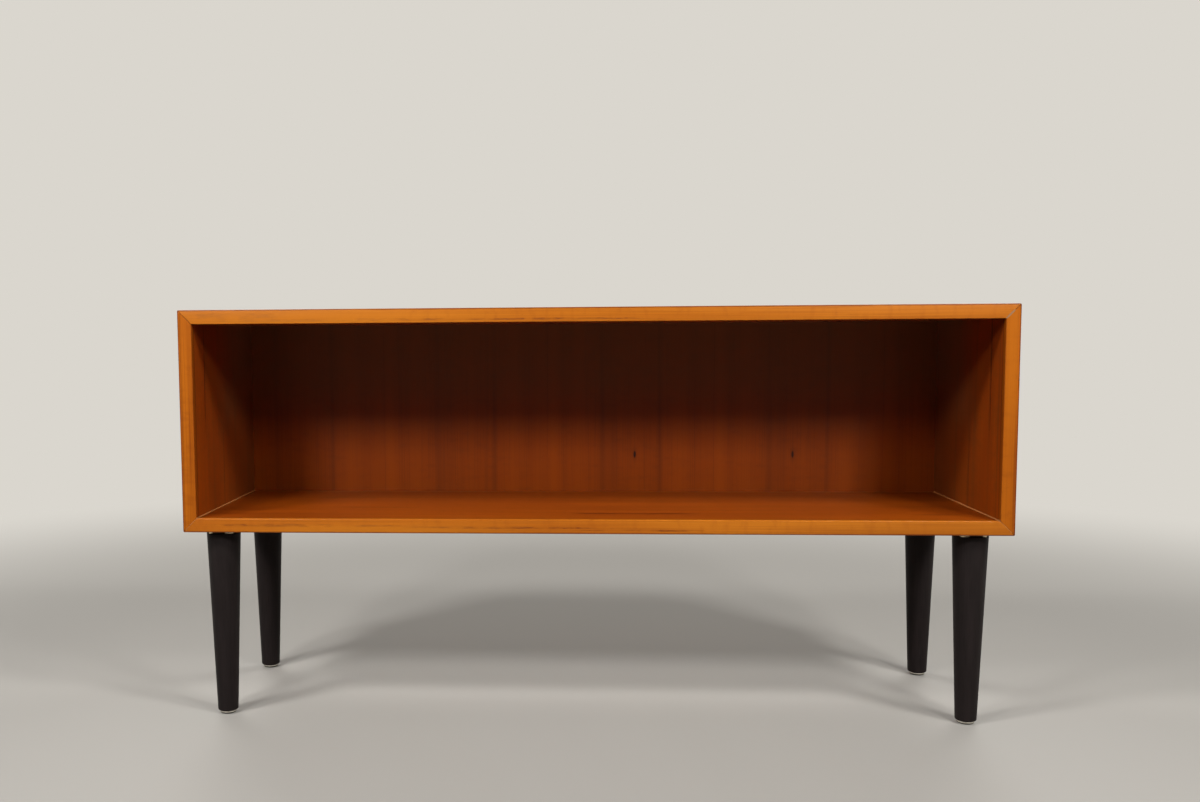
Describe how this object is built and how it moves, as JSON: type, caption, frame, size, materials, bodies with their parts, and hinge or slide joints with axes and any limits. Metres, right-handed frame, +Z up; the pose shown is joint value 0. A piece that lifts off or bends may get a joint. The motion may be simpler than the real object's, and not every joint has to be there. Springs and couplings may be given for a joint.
{
  "type": "lowboard",
  "caption": "Open lowboard: a wide mitred teak box with solid front lippings and a veneered back, on turned tapered black legs, for media, books or display.",
  "frame": {"origin": "on the floor, below the middle of the case", "axes": "+X to the right along the case, +Y from the open front to the back, +Z up"},
  "size_m": [1.1, 0.3, 0.56],
  "materials": {
    "solid_teak": "oiled, planed with the grain",
    "teak_veneer": "oiled veneer",
    "back_veneer": "oiled veneer, slip matched leaves",
    "blockboard": "bare sawn edge",
    "plywood": "bare sawn edge",
    "gaboon_veneer": "sanded backing veneer",
    "wood_filler": "matt pale filler",
    "black_lacquered_beech": "satin black lacquer",
    "zinc_plated_steel": "bright zinc plate",
    "nickel_plated_steel": "nickel plate"
  },
  "bodies": {
    "root": {"top_core": "blockboard", "top_lipping": "solid_teak", "top_outer_veneer": "teak_veneer", "top_inner_veneer": "teak_veneer", "bottom_core": "blockboard", "bottom_lipping": "solid_teak", "bottom_outer_veneer": "teak_veneer", "bottom_inner_veneer": "teak_veneer", "left_core": "blockboard", "left_lipping": "solid_teak", "left_outer_veneer": "teak_veneer", "left_inner_veneer": "teak_veneer", "right_core": "blockboard", "right_lipping": "solid_teak", "right_outer_veneer": "teak_veneer", "right_inner_veneer": "teak_veneer", "top_left_tongue": "plywood", "top_right_tongue": "plywood", "bottom_left_tongue": "plywood", "bottom_right_tongue": "plywood", "left_filler_bead": "wood_filler", "right_filler_bead": "wood_filler", "back_board": "plywood", "back_rear_veneer": "gaboon_veneer", "back_veneer_leaf_1": "back_veneer", "back_veneer_leaf_2": "back_veneer", "back_veneer_leaf_3": "back_veneer", "back_veneer_leaf_4": "back_veneer", "back_veneer_leaf_5": "back_veneer", "back_screws": "zinc_plated_steel", "front_left_leg": "black_lacquered_beech", "front_left_plate": "zinc_plated_steel", "front_left_plate_screws": "zinc_plated_steel", "front_left_hanger_bolt": "zinc_plated_steel", "front_left_glide": "nickel_plated_steel", "front_right_leg": "black_lacquered_beech", "front_right_plate": "zinc_plated_steel", "front_right_plate_screws": "zinc_plated_steel", "front_right_hanger_bolt": "zinc_plated_steel", "front_right_glide": "nickel_plated_steel", "rear_left_leg": "black_lacquered_beech", "rear_left_plate": "zinc_plated_steel", "rear_left_plate_screws": "zinc_plated_steel", "rear_left_hanger_bolt": "zinc_plated_steel", "rear_left_glide": "nickel_plated_steel", "rear_right_leg": "black_lacquered_beech", "rear_right_plate": "zinc_plated_steel", "rear_right_plate_screws": "zinc_plated_steel", "rear_right_hanger_bolt": "zinc_plated_steel", "rear_right_glide": "nickel_plated_steel"}
  },
  "joints": []
}
